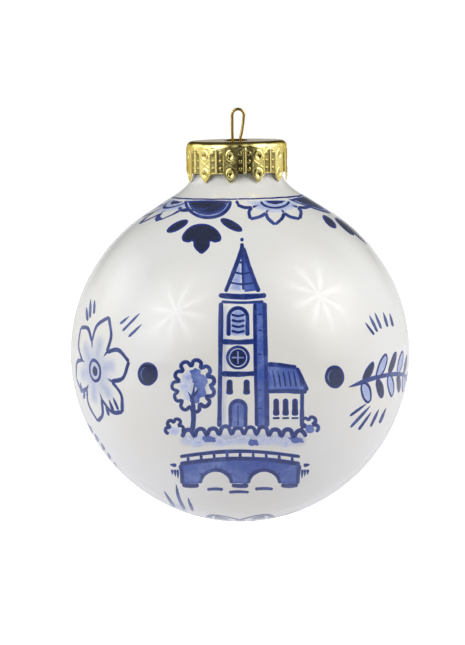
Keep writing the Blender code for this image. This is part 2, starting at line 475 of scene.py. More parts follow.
# Materials -------------------------------------------------------------------------
class Nodes:
    """Short hand for building a node tree."""

    def __init__(self, tree):
        self.tree = tree
        tree.nodes.clear()

    def new(self, kind, **props):
        n = self.tree.nodes.new(kind)
        for k, v in props.items():
            setattr(n, k, v)
        return n

    def link(self, a, b):
        self.tree.links.new(a, b)

    def put(self, socket, value):
        if isinstance(value, bpy.types.NodeSocket):
            self.link(value, socket)
        else:
            socket.default_value = value

    def math(self, op, a, b=0.0, c=0.0, clamp=False):
        n = self.new("ShaderNodeMath", operation=op, use_clamp=clamp)
        for i, v in enumerate((a, b, c)):
            self.put(n.inputs[i], v)
        return n.outputs[0]

    def vec(self, op, a, b):
        n = self.new("ShaderNodeVectorMath", operation=op)
        self.put(n.inputs[0], a)
        self.put(n.inputs[1], b)
        return n.outputs["Value" if op == "DOT_PRODUCT" else "Vector"]

    def mix(self, fac, a, b, mode="MIX"):
        n = self.new("ShaderNodeMix", data_type="RGBA", blend_type=mode)
        self.put(n.inputs[0], fac)
        self.put(n.inputs[6], a)
        self.put(n.inputs[7], b)
        return n.outputs[2]

    def range(self, v, a, b, c, d, smooth=False):
        n = self.new("ShaderNodeMapRange", clamp=True)
        if smooth:
            n.interpolation_type = "SMOOTHSTEP"
        for i, x in enumerate((v, a, b, c, d)):
            self.put(n.inputs[i], x)
        return n.outputs[0]

    def attr(self, name):
        return self.new("ShaderNodeAttribute", attribute_name=name).outputs["Fac"]

    def coords(self):
        return self.new("ShaderNodeTexCoord").outputs["Object"]

    def noise(self, co, scale, detail=3.0, rough=0.5, distort=0.0):
        n = self.new("ShaderNodeTexNoise")
        self.put(n.inputs["Vector"], co)
        n.inputs["Scale"].default_value = scale
        n.inputs["Detail"].default_value = detail
        n.inputs["Roughness"].default_value = rough
        n.inputs["Distortion"].default_value = distort
        return n.outputs["Fac"]

    def voronoi(self, co, scale, feature="F1"):
        n = self.new("ShaderNodeTexVoronoi", feature=feature)
        self.put(n.inputs["Vector"], co)
        n.inputs["Scale"].default_value = scale
        return n.outputs["Distance"]

    def bump(self, height, strength, dist):
        n = self.new("ShaderNodeBump")
        n.inputs["Strength"].default_value = strength
        n.inputs["Distance"].default_value = dist
        self.put(n.inputs["Height"], height)
        return n.outputs["Normal"]


def material(name):
    mat = bpy.data.materials.new(name)
    mat.use_nodes = True
    n = Nodes(mat.node_tree)
    out = n.new("ShaderNodeOutputMaterial")
    bsdf = n.new("ShaderNodeBsdfPrincipled")
    n.link(bsdf.outputs[0], out.inputs[0])
    return mat, n, bsdf.inputs


def glaze_skin(n, b):
    """Gloss shared by glaze and underglaze paint: a fired surface with slow waves and pinholes."""
    co = n.coords()
    waves = n.noise(co, 95, 2.0, 0.45)
    fine = n.noise(co, 620, 2.0, 0.5)
    pits = n.range(n.voronoi(co, 210), 0.0, 0.055, 0.0, 1.0)
    height = n.math("ADD", n.math("MULTIPLY", waves, 0.75), n.math("MULTIPLY", fine, 0.06))
    height = n.math("ADD", height, n.math("MULTIPLY", pits, 0.05))
    n.put(b["Normal"], n.bump(height, 0.20, 0.0006))
    n.put(b["Roughness"], n.range(n.noise(co, 140, 3.0), 0.3, 0.7, 0.02, 0.05))
    b["IOR"].default_value = 1.5
    b["Coat Weight"].default_value = 0.25
    b["Coat Roughness"].default_value = 0.04
    return co


def glaze_material():
    mat, n, b = material("white_glaze_fired")
    co = glaze_skin(n, b)
    cloud = n.noise(co, 38, 3.0, 0.55)
    body = n.mix(n.range(cloud, 0.35, 0.65, 0, 1), lin((226, 224, 216)), lin((230, 229, 226)))
    pool = n.range(n.noise(co, 11, 2.0), 0.4, 0.7, 0.0, 0.35)
    body = n.mix(pool, body, lin((221, 224, 226)))
    specks = n.range(n.voronoi(co, 120), 0.020, 0.045, 1.0, 0.0)
    rare = n.range(n.noise(co, 55, 1.0), 0.60, 0.66, 0.0, 0.5)
    body = n.mix(n.math("MULTIPLY", specks, rare), body, lin((150, 138, 118)))
    # Soft washes of cobalt that bled into the glaze.
    wash = n.attr("wash")
    brush = n.range(n.noise(co, 260, 4.0, 0.6), 0.3, 0.7, 0.75, 1.2)
    wash = n.math("MULTIPLY", wash, brush, clamp=True)
    ramp = n.new("ShaderNodeValToRGB")
    el = ramp.color_ramp.elements
    el[0].position, el[0].color = 0.0, lin((255, 255, 255))
    el[1].position, el[1].color = 1.0, lin((84, 108, 200))
    for at, c in ((0.25, (212, 220, 246)), (0.55, (142, 160, 226))):
        e = el.new(at)
        e.color = lin(c)
    n.link(wash, ramp.inputs[0])
    n.put(b["Base Color"], n.mix(1.0, body, ramp.outputs[0], "MULTIPLY"))
    b["Subsurface Weight"].default_value = 0.0
    return mat


def bisque_material():
    """Bare, thinly glazed clay inside the ball and on the neck's rim."""
    mat, n, b = material("bare_clay")
    co = n.coords()
    grain = n.noise(co, 900, 5.0, 0.65)
    patch = n.noise(co, 70, 3.0)
    col = n.mix(n.range(patch, 0.35, 0.65, 0, 1), lin((228, 220, 204)), lin((214, 205, 189)))
    n.put(b["Base Color"], n.mix(n.range(grain, 0.35, 0.7, 0, 0.5), col, lin((196, 184, 164))))
    n.put(b["Roughness"], n.range(grain, 0.3, 0.7, 0.55, 0.8))
    n.put(b["Normal"], n.bump(grain, 0.35, 0.0002))
    return mat


def paint_material(name, edge, core, light, streak=0.5):
    """Cobalt under the glaze: bleeding edge, pooled dark core, thin places lighter."""
    mat, n, b = material(name)
    co = glaze_skin(n, b)
    inner = n.attr("core")
    tone = n.attr("tone")
    flow = n.noise(co, 170, 4.0, 0.6, 0.4)
    grain = n.noise(co, 1500, 3.0, 0.6)
    depth = n.math("MULTIPLY", inner, n.range(flow, 0.28, 0.6, 1 - streak, 1.0))
    col = n.mix(n.range(depth, 0.15, 0.95, 0, 1, smooth=True), lin(edge), lin(core))
    thin = n.math("ADD", tone, n.range(n.math("ADD", flow, n.math("MULTIPLY", grain, 0.25)), 0.62, 0.9, 0, 0.6), clamp=True)
    col = n.mix(thin, col, lin(light))
    speckle = n.range(n.noise(co, 2300, 3.0, 0.7), 0.30, 0.72, 0.80, 1.16)
    tinted = n.new("ShaderNodeVectorMath", operation="SCALE")
    n.link(col, tinted.inputs[0])
    n.link(speckle, tinted.inputs["Scale"])
    n.put(b["Base Color"], tinted.outputs[0])
    return mat


def gold_material(name, bright, deep, rough, scratch, marks=0.35, bumps=0.30):
    mat, n, b = material(name)
    co = n.coords()
    stain = n.noise(co, 260, 4.0, 0.6)
    fine = n.noise(co, 2600, 3.0, 0.6)
    wear = n.noise(co, 800, 4.0, 0.65)
    hollow = n.attr("hollow")
    col = n.mix(n.range(stain, 0.35, 0.7, 0, 1), lin(bright), lin(deep))
    # Painted shade and reflection: the colour darkens to olive-brown where the "hollow" attribute is set. This is a
    # painted dark reflection over the cap's top and shoulder, and painted shade in the pressed hollows.
    col = n.mix(n.math("MULTIPLY", hollow, 0.75), col, lin((104, 90, 44)))
    n.put(b["Base Color"], n.mix(n.range(wear, 0.6, 0.75, 0, marks), col, lin((255, 238, 190))))
    n.put(b["Roughness"], n.range(wear, 0.3, 0.75, rough[0], rough[1]))
    height = n.math("ADD", n.math("MULTIPLY", n.noise(co, 330, 2.0), 0.8), n.math("MULTIPLY", fine, scratch))
    n.put(b["Normal"], n.bump(height, bumps, 0.00025))
    b["Metallic"].default_value = 1.0
    b["Specular Tint"].default_value = (0.78, 0.62, 0.30, 1)
    return mat


GLAZE = glaze_material()
CLAY = bisque_material()
LINE = paint_material("cobalt_outline", (52, 74, 162), (28, 44, 100), (96, 116, 188), 0.45)
NAVY = paint_material("cobalt_fill", (38, 58, 146), (34, 41, 66), (58, 74, 126), 0.22)
MID = paint_material("cobalt_wash", (62, 86, 166), (88, 110, 178), (146, 162, 214), 0.85)
TINT = paint_material("cobalt_tint", (202, 209, 230), (146, 162, 214), (206, 213, 234), 0.5)
CAP_GOLD = gold_material("pressed_gold", (251, 238, 160), (236, 216, 124), (0.10, 0.20), 0.10)
WIRE_GOLD = gold_material("drawn_gold_wire", (204, 178, 108), (170, 144, 80), (0.20, 0.28), 0.03, 0.08, 0.05)


# Ceramic ball ----------------------------------------------------------------------
def ball_inside():
    """From the rim's outer edge over the rim, down the bore and round the hollow."""
    inner = BALL_R - WALL
    rise = SHOULDER_RISE - WALL
    meet = rise * math.sqrt(1 - ((BORE_R + 2.0) / inner) ** 2)
    lip = bezier((BORE_R, meet + 2.6), (BORE_R, meet + 1.2), (BORE_R + 0.7, meet + 0.3), (BORE_R + 2.0, meet), 8)
    top = math.asin(meet / rise)
    a = np.linspace(top, 0, 40)
    hollow = np.stack([inner * np.cos(a), rise * np.sin(a)], 1)
    return joined(
        arc(NECK_R - RIM_ROUND, RIM - RIM_ROUND, RIM_ROUND, 0, 90, 6),
        arc(BORE_R + RIM_ROUND, RIM - RIM_ROUND, RIM_ROUND, 90, 180, 6),
        np.array([[BORE_R, 44.0], [BORE_R, 41.0]]),
        lip,
        hollow,
        arc(0, 0, inner, 0, -88.5, 44),
    )


def make_ball():
    s_rows = np.concatenate([np.linspace(0, PS[-1], 205)[1:]])
    rows = np.stack([np.interp(s_rows, PS, PR), np.interp(s_rows, PS, PH)], 1)
    n_out = len(rows)
    rows = joined(rows, ball_inside())
    n, m = 360, len(rows)
    az = np.linspace(0, 2 * math.pi, n, endpoint=False)
    sn, cs = np.sin(az), np.cos(az)
    verts = np.stack(
        [rows[:, :1] * sn, -rows[:, :1] * cs, np.repeat(rows[:, 1:], n, 1) + BALL_Z], 2
    ).reshape(-1, 3)
    bottom, floor_in = len(verts), len(verts) + 1
    verts = np.concatenate([verts, [[0, 0, BALL_Z - BALL_R], [0, 0, BALL_Z - BALL_R + WALL]]])
    faces = []
    for j in range(m - 1):
        for i in range(n):
            k = (i + 1) % n
            faces.append((j * n + i, j * n + k, (j + 1) * n + k, (j + 1) * n + i))
    for i in range(n):
        k = (i + 1) % n
        faces.append((bottom, k, i))
        faces.append((floor_in, (m - 1) * n + i, (m - 1) * n + k))
    ob = mesh_object("glazed_ball", verts, faces, GLAZE)
    ob.data.materials.append(CLAY)
    index = np.zeros(len(ob.data.polygons), np.int32)
    index[(n_out + 3) * n : (m - 1) * n] = 1
    index[(m - 1) * n + 1 :: 2] = 1
    ob.data.polygons.foreach_set("material_index", index)
    return ob, verts


ball, ball_verts = make_ball()
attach(ball, "ball")
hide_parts("ceramic_ball")
WASH = np.zeros(len(ball_verts))
OUTER = np.hypot(np.hypot(ball_verts[:, 0], ball_verts[:, 1]), np.maximum(0, -(ball_verts[:, 2] - BALL_Z))) > 9.9


def wash_line(chart, pts, radius, strength, soft=0.6):
    """A soft wash along a path: full within `radius`, gone `soft` x radius further out."""
    global WASH
    q = chart.flat(ball_verts)
    best = np.full(len(q), 1e9)
    p = np.array(pts, float)
    if len(p) == 1:
        best = np.hypot(*(q - p[0]).T)
    for a, b in zip(p[:-1], p[1:]):
        ab = b - a
        t = np.clip((q - a) @ ab / max(1e-9, ab @ ab), 0, 1)
        best = np.minimum(best, np.hypot(*(q - a - t[:, None] * ab).T))
    k = np.clip((radius * (1 + soft) - best) / max(1e-9, radius * soft * 2), 0, 1)
    k = k * k * (3 - 2 * k) * strength
    WASH = np.maximum(WASH, np.where(OUTER, k, 0))


# The decoration: plain blue-and-white motifs, built from rules and simple shapes --------------------------------------
lines = Paint("painted_outlines")
fills = Paint("painted_fills")
washes = Paint("painted_washes")
tints = Paint("painted_tints")
F0 = Front()


def px(*pts):
    """Picture places to drawing places about the ball's centre."""
    return [(x - 240.0, 352.0 - y) for x, y in pts]


def oval(cx, cy, rx, ry, tilt=0.0, n=18, rough=0.0, seed=1):
    r = random.Random(seed)
    a = math.radians(tilt)
    out = []
    for i in range(n):
        t = 2 * math.pi * i / n
        k = 1 + rough * r.uniform(-1, 1)
        x, y = rx * k * math.cos(t), ry * k * math.sin(t)
        out.append((cx + x * math.cos(a) - y * math.sin(a), cy + x * math.sin(a) + y * math.cos(a)))
    return out


def scallops(path, bump, depth, seed=3, side=1):
    """A leafy edge: rounded lobes along a path, on one side of it."""
    r = random.Random(seed)
    p, at = smooth_path(path, 0.5, False, True)
    n = max(2, round(at[-1] / bump))
    d = np.gradient(p, axis=0)
    d /= np.hypot(*d.T)[:, None]
    out = []
    for k in range(n):
        w = r.uniform(0.8, 1.2)
        for t, o in ((0.0, -0.25), (0.22, 0.7 * w), (0.5, w), (0.78, 0.75 * w)):
            s = (k + t) / n * at[-1]
            x, y = np.interp(s, at, p[:, 0]), np.interp(s, at, p[:, 1])
            dx, dy = np.interp(s, at, d[:, 0]), np.interp(s, at, d[:, 1])
            out.append((x - dy * depth * o * side, y + dx * depth * o * side))
    out.append(tuple(p[-1]))
    return out


def arch(x, y0, y1, w, n=9):
    """An upright opening with a round head: up one side, over and down the other."""
    out = [(x - w, y0), (x - w, (y0 + y1 - w) / 2)]
    out += [(x - w * math.cos(math.pi * k / n), y1 - w + w * math.sin(math.pi * k / n)) for k in range(n + 1)]
    return out + [(x + w, (y0 + y1 - w) / 2), (x + w, y0)]


def draw_tower(c):
    """A plain village tower: one spire, a belfry opening, a round window and a door."""
    fills.fill(c, oval(2, 112.4, 1.9, 2.0), edge=0.8, tone=0.1)
    washes.fill(c, [(3.4, 101), (17.0, 61.5), (4.4, 60.0)], lift=0.026, curved=False, tone=0.0)
    tints.fill(c, [(0.8, 98), (1.8, 60.5), (-10.8, 61.6)], curved=False, tone=0.1)
    lines.stroke(c, [(2, 109), (1.2, 101), (-6, 81), (-14.6, 60)], 3.9)
    lines.stroke(c, [(2.4, 105), (10.4, 82), (18.8, 60)], 4.1)
    lines.stroke(c, [(2.4, 98), (2.8, 78), (3.2, 62)], 2.2)
    for y in (91, 80, 69.5):
        w = (105 - y) * 0.34
        lines.stroke(c, [(2 - w, y), (2, y - 1.8), (2 + w, y - 0.3)], 2.0)
    # Eaves and the belfry stage.
    lines.stroke(c, [(-21.4, 56.6), (2, 55.2), (26.4, 56.6)], 4.9)
    lines.stroke(c, [(-18.6, 50.2), (2, 49.4), (23.6, 50.2)], 2.6)
    tints.fill(c, arch(-2, 17, 43, 8.2), edge=0.6, tone=0.0)
    lines.stroke(c, arch(-2, 16, 44, 9.4), 3.7)
    for y in (20.4, 25.8, 31.2, 36.6):
        lines.stroke(c, [(-8.6, y + 0.9), (-2, y - 0.7), (4.8, y + 0.7)], 2.9)
    lines.stroke(c, [(-18.6, 10.4), (-2, 9.8), (15, 10.6)], 4.7)
    # Walls, the right one in shade.
    washes.fill(c, [(15.0, 49), (23.6, 49), (25.4, -10), (26.6, -75), (16.8, -75), (15.6, -10)], grid=0.6, curved=False, tone=0.0)
    lines.stroke(c, [(-19.0, 49.6), (-19.4, 10), (-20.0, -30), (-20.6, -75)], 4.2, wob=0.16)
    lines.stroke(c, [(14.8, 48.6), (15.4, -10), (16.6, -74)], 3.3, wob=0.16)
    lines.stroke(c, [(24.4, 49.6), (25.8, -10), (27.0, -75)], 4.3, wob=0.16)
    for y in (38, 22, -2, -38, -56):
        lines.stroke(c, [(17.6, y), (22.8, y - 0.6)], 1.7, tip=(0.6, 0.6))
    wash_line(c, [(-15.4, 44), (-15.8, 0), (-16.4, -70)], 1.6, 0.24, 1.2)
    # Round window with four lights.
    fills.fill(c, oval(-2, -5.6, 8.3, 8.5), lift=0.022)
    lines.stroke(c, oval(-2, -5.6, 10.5, 10.7), 2.6, lift=0.034, loop=True)
    washes.stroke(c, [(-8.2, -5.6), (4.2, -5.6)], 1.3, lift=0.042, tone=0.5)
    washes.stroke(c, [(-2, 0.6), (-2, -11.8)], 1.3, lift=0.046, tone=0.5)
    lines.stroke(c, [(-18.8, -21.6), (-2, -22.2), (15.4, -21.4)], 4.7)
    # Two small windows over a boarded door.
    for x in (-10.4, 6.6):
        fills.fill(c, arch(x, -42, -27.4, 3.1), edge=0.6)
    washes.fill(c, arch(-2, -75, -50.6, 6.0), lift=0.026, tone=0.2)
    lines.stroke(c, arch(-2, -75.4, -48.8, 7.6), 3.6)
    lines.stroke(c, [(-2, -53), (-2, -74)], 1.9)


def draw_nave(c):
    """A low nave to the right of the tower, under a hatched roof."""
    washes.fill(c, [(28.2, -13.4), (56, -16), (65.4, -38), (28.8, -38)], grid=0.6, curved=False, tone=0.1)
    for k in range(6):
        x = 32.4 + 5.2 * k
        lines.stroke(c, [(x, -18.4), (x + 1.6, -26), (x + 3.0, -35)], 2.0, tip=(0.6, 0.9))
    lines.stroke(c, [(27.4, -12.2), (42, -13.4), (56.6, -15.4)], 4.1)
    lines.stroke(c, [(56.8, -15.6), (62, -27), (67.2, -39)], 3.9)
    lines.stroke(c, [(28, -39.4), (47, -39.0), (66.8, -39.8)], 4.1)
    lines.stroke(c, [(62.2, -41), (61.8, -75)], 3.7)
    for x in (36.2, 45.6, 55.0):
        fills.fill(c, arch(x, -63, -46.4, 2.9), edge=0.6)
        lines.stroke(c, [(x - 3.6, -66.2), (x + 3.6, -66.0)], 1.9)


def draw_tree(c, x, y, rx, ry, foot, seed):
    """A round-headed tree: a leafy ring, dabs of wash and a forked trunk."""
    head = oval(x, y, rx, ry, 0, 14, 0.05, seed)
    lines.stroke(c, scallops(head + head[:1], 10.5, 4.4, seed, -1), 3.5)
    r = random.Random(seed)
    for k in range(7):
        t = 2 * math.pi * (k + 0.5) / 7
        a, b = rx * r.uniform(0.28, 0.48), ry * r.uniform(0.22, 0.36)
        coat = washes if math.cos(t) > 0.1 else tints
        coat.fill(c, oval(x + 0.5 * rx * math.cos(t), y + 0.52 * ry * math.sin(t), a, b, r.uniform(-70, 70), 16, 0.22, seed + k), lift=0.020 + 0.0022 * k, edge=1.3, tone=r.uniform(0.0, 0.3))
    wash_line(c, [(x - rx * 0.2, y), (x + rx * 0.2, y)], 9.0, 0.22, 0.5)
    lines.stroke(c, [(x + 1, y + ry * 0.2), (x - 0.4, y - ry * 0.6), (x, (y - ry + foot) / 2), (x - 1.2, foot)], 4.3, tip=(0.3, 1))
    lines.stroke(c, [(x - 0.2, y - ry * 0.5), (x + rx * 0.36, y - ry * 0.06)], 2.9, tip=(1, 0.3))
    lines.stroke(c, [(x - 0.2, y - ry * 0.66), (x - rx * 0.36, y - ry * 0.22)], 2.7, tip=(1, 0.3))


def draw_garden(c):
    """A tree on the left, a bush each side and a hedge along the front."""
    draw_tree(c, -46.5, -34.5, 16.5, 21.0, -79, 5)
    lines.stroke(c, scallops([(-72, -82), (-70, -72), (-63, -70), (-58, -80)], 7.6, 3.4, 4), 3.2)
    tints.fill(c, oval(-65.4, -79, 5.6, 4.4, 0, 14, 0.08, 6), edge=1.2, tone=0.2)
    lines.stroke(c, scallops([(64, -82), (66, -69), (72, -68), (76, -80)], 7.6, 3.4, 3), 3.2)
    washes.fill(c, oval(69.8, -77, 4.6, 4.6, 0, 14, 0.08, 7), edge=1.0, tone=0.3)
    lines.stroke(c, scallops([(-58, -84), (-30, -81.6), (0, -80.6), (32, -82), (66, -85)], 12.4, 5.8, 9), 3.8)
    for k in range(11):
        x = -52 + 10.8 * k
        y = -89 - 1.6 * math.sin(k * 2.3)
        coat = washes if k % 4 == 2 else tints
        coat.fill(c, oval(x, y, 6.4 + (k % 3) * 1.3, 3.2 + 1.3 * (k % 2), 12 * math.sin(k * 1.7), 16, 0.22, k + 40), lift=0.020 + 0.0022 * (k % 4), edge=1.4, tone=0.1 * (k % 4))
    wash_line(c, [(-54, -88), (0, -86), (60, -88)], 4.6, 0.30, 0.9)


def draw_bridge(c):
    """A stone bridge of two round arches with a coped parapet, over still water."""
    def rise(x):
        return -104.6 + 5.4 * math.cos(x / 60 * math.pi / 2)

    xs = (-60, -40, -20, 0, 20, 40, 60)
    lines.stroke(c, [(x, rise(x)) for x in xs], 3.2)
    lines.stroke(c, [(x, rise(x) - 7.4) for x in xs], 4.0)
    for k in range(9):
        x = -52 + 13 * k
        lines.stroke(c, [(x, rise(x) - 1.2), (x + 0.4, rise(x) - 6.6)], 2.5)

    def soffit(x0, grow=0.0):
        return [(x0 + (15.2 + grow) * math.cos(math.pi * k / 10), -131.4 + (13.0 + grow) * math.sin(math.pi * k / 10)) for k in range(11)]

    wall = [(x, rise(x) - 8) for x in xs[1:-1]]
    wall = [(-58.6, rise(58.6) - 8)] + wall + [(58.6, rise(58.6) - 8), (57.4, -131.4)]
    washes.fill(c, wall + soffit(24) + soffit(-24) + [(-57.4, -131.4)], grid=0.6, curved=False, tone=-0.05)
    for x0 in (-24, 24):
        lines.stroke(c, soffit(x0, 0.6), 3.7)
        for k in (2, 5, 8):
            a = math.pi * k / 10
            lines.stroke(c, [(x0 + 17.2 * math.cos(a), -131.4 + 15 * math.sin(a)), (x0 + 20.6 * math.cos(a), -131.4 + 18.2 * math.sin(a))], 1.8, tip=(0.8, 0.5))
    for sx in (-1, 1):
        lines.stroke(c, [(59.4 * sx, rise(59) - 8), (58.0 * sx, -122), (57.6 * sx, -132)], 4.0)
        lines.stroke(c, [(41 * sx, -133.4), (49 * sx, -133.8), (58 * sx, -133)], 3.7)
        lines.stroke(c, [(63.5 * sx, -113.6), (70 * sx, -112.4)], 3.4, tip=(1, 0.5))
        for k in range(3):
            x = (62.4 + 2.8 * k) * sx
            lines.stroke(c, [(x, -117.4), (x - 0.6 * sx, -126.6 + 1.8 * k)], 2.4, tip=(1, 0.4))
    lines.stroke(c, [(-8.4, -133.4), (0, -134), (8.4, -133.4)], 3.7)
    # Water.
    for x0, x1, y in ((-33, -17, -137.4), (15, 33, -137.0), (-11, 9, -140.2)):
        lines.stroke(c, [(x0, y), ((x0 + x1) / 2, y + 0.5), (x1, y)], 2.7)


def draw_band(rot):
    """One quarter of the border round the neck: a half rosette over a leaf, then half a star."""
    c = Front(rot)

    def half(cx, rx, ry, a0=181, a1=359, n=11):
        return [
            (cx + rx * math.cos(math.radians(a)), 151.4 + ry * math.sin(math.radians(a)))
            for a in np.linspace(a0, a1, n)
        ]

    fills.fill(c, half(-32, 18.6, 13.2))
    lines.stroke(c, half(-32, 22.6, 17.0), 2.9)
    lines.stroke(c, half(-32, 18.8, 13.6, 184, 356), 1.6, lift=0.034)
    wash_line(c, half(-32, 20.8, 15.4), 1.1, 0.55, 1.0)
    # A three-lobed leaf, the same on both sides, and its two buds.
    lobe = [(0, 11.4), (7.6, 10.2), (14.6, 6.0), (19.4, -0.6), (19.0, -5.8), (13.4, -7.6), (8.8, -6.4), (8.0, -11.4), (4.4, -16.2), (0, -19.0)]
    fills.fill(c, [(-38.4 + x, 117.0 + y) for x, y in lobe + [(-x, y) for x, y in lobe[-2:0:-1]]])
    fills.fill(c, oval(-62.6, 125.8, 12.2, 4.2, 28))
    fills.fill(c, oval(-8.6, 127.0, 12.4, 4.4, -28))
    # Half a star flower under the border line.
    cx, tips = 35.0, (190, 230, 270, 310, 350)
    lines.stroke(c, half(cx, 39.0, 3.0, 183, 184, 2) + half(cx, 37, 24, 190, 190, 1), 2.8)
    for k, t in enumerate(tips):
        for sx in (-1, 1):
            if (k, sx) in ((0, -1), (4, 1)):
                continue
            root = half(cx, 26.5, 13.4, t + 20 * sx, t + 20 * sx, 1)
            knee = half(cx, 33.0, 18.4, t + 12 * sx, t + 12 * sx, 1)
            lines.stroke(c, root + knee + half(cx, 38.5, 24.0, t, t, 1), 2.9)
        if k < 4:
            lines.stroke(c, half(cx, 26.0, 13.0, t + 20, t + 20, 1) + half(cx, 19.0, 9.4, t + 20, t + 20, 1), 2.3, tip=(0.9, 0.3))
    tints.fill(c, half(cx, 25.0, 12.0), edge=1.0, tone=0.3)
    fills.fill(c, half(cx, 9.4, 4.6), lift=0.028)
    lines.stroke(c, half(cx, 14.2, 7.2, 186, 354), 2.3, lift=0.034)


def draw_ring():
    """The border line round the foot of the neck."""
    s0 = arc_at(float(F0(np.array(px((240, 199.0))))[0][0][2]) - BALL_Z)
    r = float(np.interp(s0, PS, PR))

    class Round:
        unit = 1.0

        def __call__(self, q):
            q = np.asarray(q, float)
            return on_profile(s0 + q[:, 1], q[:, 0] / r)

    n = 60
    line = [(2 * math.pi * r * i / n, 0.05 * math.sin(i * 2.1)) for i in range(n + 1)]
    lines.stroke(Round(), line, 0.55, lift=0.026, tip=(1, 1))


def draw_flower(az, h, size=1.0, seed=0, flip=1):
    """An open six-petalled flower about its own middle, in mm."""
    c = Local(az, h, 0, flip)
    r = random.Random(seed + 11)

    def polar(rad, deg):
        return (size * rad * math.cos(math.radians(deg)), size * rad * math.sin(math.radians(deg)))

    for k in range(6):
        a = 60 * k + 12 + 23 * seed
        tip = polar(12.9 + r.uniform(-0.6, 0.6), a + r.uniform(-3, 3))
        lines.stroke(c, [polar(6.9, a - 30), polar(10.5, a - 18), tip], 0.86)
        lines.stroke(c, [tip, polar(10.5, a + 18), polar(6.9, a + 30)], 0.86)
        lines.stroke(c, [polar(6.9, a - 30), polar(5.2, a - 30)], 0.66, tip=(1, 0.2))
        wash_line(c, [polar(3.7, a), polar(6.6, a)], 1.4, 0.30, 1.1)
    lines.stroke(c, oval(0, 0, 2.35 * size, 2.45 * size, n=14, rough=0.03, seed=seed + 2), 0.7, loop=True)
    fills.fill(c, oval(0.1, -0.1, 1.15 * size, 1.2 * size, n=12), edge=0.5, tone=0.1)
    wash_line(c, [(0, 0)], 5.4, 0.26, 0.7)


def draw_sprig(az, h, flip=1, seed=2):
    """A leafy sprig lying along the ball, in mm: one stem, paired leaves and a bud."""
    c = Local(az, h, 0, flip)
    lines.stroke(c, [(-14.6, -0.9), (-7.5, 0.5), (0, 0.9), (7.5, 0.4), (13.6, -0.8)], 0.95, tip=(0.5, 0.9))
    for k, x in enumerate((-11.2, -6.2, -1.2, 3.8, 8.6)):
        y = 0.9 - 0.009 * x * x
        size = 3.3 - 0.3 * abs(k - 1.6)
        for s in (-1, 1):
            t = math.radians(52 * s)
            leaf = oval(x + 1.0 + size * math.cos(t), y + size * 1.06 * math.sin(t), size, 1.3, math.degrees(t), 16, 0.04, seed + k)
            if (k + (s > 0)) % 2:
                fills.fill(c, leaf, edge=0.4, tone=0.15)
            else:
                tints.fill(c, leaf, edge=0.6, tone=0.2)
                lines.stroke(c, leaf, 0.6, loop=True)
    fills.fill(c, oval(15.2, -1.1, 1.9, 1.25, -12), edge=0.4)


def draw_dot(c, x, y, rx, ry):
    fills.fill(c, oval(x, y, rx, ry, n=16, rough=0.015, seed=int(abs(x))), grid=0.4, tone=0.2)
    a = oval(x - rx * 0.04, y, rx * 0.62, ry * 0.6)
    washes.stroke(c, a[5:13], 1.25 if c.unit < 0.5 else 0.3, lift=0.034, tone=0.15, tip=(0.2, 0.2))


def ticks(c, rows, w=2.9, tone=0.0, tip=(0.5, 0.9)):
    for row in rows:
        lines.stroke(c, px(*row), w, tone=tone, tip=tip)


draw_tower(F0)
draw_nave(F0)
draw_garden(F0)
draw_bridge(F0)
for k in (0.0, 96.5, 183.0, -91.5):
    draw_band(k)
draw_ring()

# Left: flower with dashes, then a dot.
draw_flower(-57.8, -2.1)
draw_dot(F0, *px((147.8, 374))[0], 10.2, 11.8)
ticks(F0, [((86.5, 307), (87.5, 321)), ((90.7, 299), (90, 318)), ((94.7, 300), (94, 314))], 2.2)
ticks(F0, [((129.4, 316), (120, 324)), ((140, 313), (122.5, 331)), ((142, 324), (128.5, 337))], 2.3, 0.25)
ticks(F0, [((80, 382), (82, 393)), ((84.5, 390), (84, 399))], 2.0)
ticks(F0, [((105.4, 403.5), (109, 416)), ((108.9, 399.4), (113.4, 411.6)), ((113, 397.3), (118.4, 410))], 2.5)
# Right: dot, dashes above and below a leafy scroll.
draw_dot(F0, *px((334.6, 376.8))[0], 9.8, 11.7)
draw_sprig(60.0, -5.2)
ticks(F0, [((365, 322.3), (374.2, 334.8)), ((369.3, 315.2), (377.5, 332)), ((374.8, 312.5), (381.3, 328.8))], 2.5)
ticks(F0, [((383.2, 312), (387.6, 327)), ((389.6, 313), (393.0, 326.6))], 2.4)
ticks(F0, [((366.6, 403.6), (349.8, 416)), ((370.4, 405.8), (350.4, 427.5)), ((371.5, 411.8), (358.5, 430))], 2.6)
ticks(F0, [((379.0, 409), (370.4, 427)), ((386.0, 408), (379.4, 423.4))], 2.5)
# Lower left: a row of plain dashes, and grass.
ticks(F0, [((88 + 6.5 * k, 424 + 9.5 * k), (92.5 + 6.0 * k, 433 + 8.8 * k)) for k in range(5)], 2.3, 0.1)
ticks(F0, [((164.1, 491), (169, 499), (174.8, 508)), ((176, 484), (178.6, 497), (184.8, 510.3)), ((188, 497.6), (190, 504), (193, 511))], 2.8, 0.2)
wash_line(F0, px((176, 507), (184, 510)), 3.4, 0.26, 1.0)

# Round the back: the same motifs, going on at the same pitch.
BACK = ((122.0, "flower", 1), (180.0, "sprig", 5), (-122.0, "flower", 2))
for az, kind, seed in BACK:
    if kind == "flower":
        draw_flower(az, -2.6, 0.94, seed, -1 if seed == 1 else 1)
    else:
        draw_sprig(az, -1.0, 1, seed)
    for dx in (-1, 1):
        c = Local(az, 11.5, 12 * dx)
        for k in (-1, 0, 1):
            lines.stroke(c, [(dx * 9.0 + k * 1.3, 1.4), (dx * 9.4 + k * 1.5, 5.0)], 0.6, tip=(0.5, 0.9))
        c = Local(az, -17.5, -10 * dx)
        for k in (-1, 0, 1):
            lines.stroke(c, [(dx * 8.0 + k * 1.3, -2.4), (dx * 8.4 + k * 1.1, 1.4)], 0.6, tip=(0.5, 0.9))
for az in (93.0, 151.0, -93.0, -151.0):
    draw_dot(Local(az, -5.0), 0, 0, 2.7, 2.8)

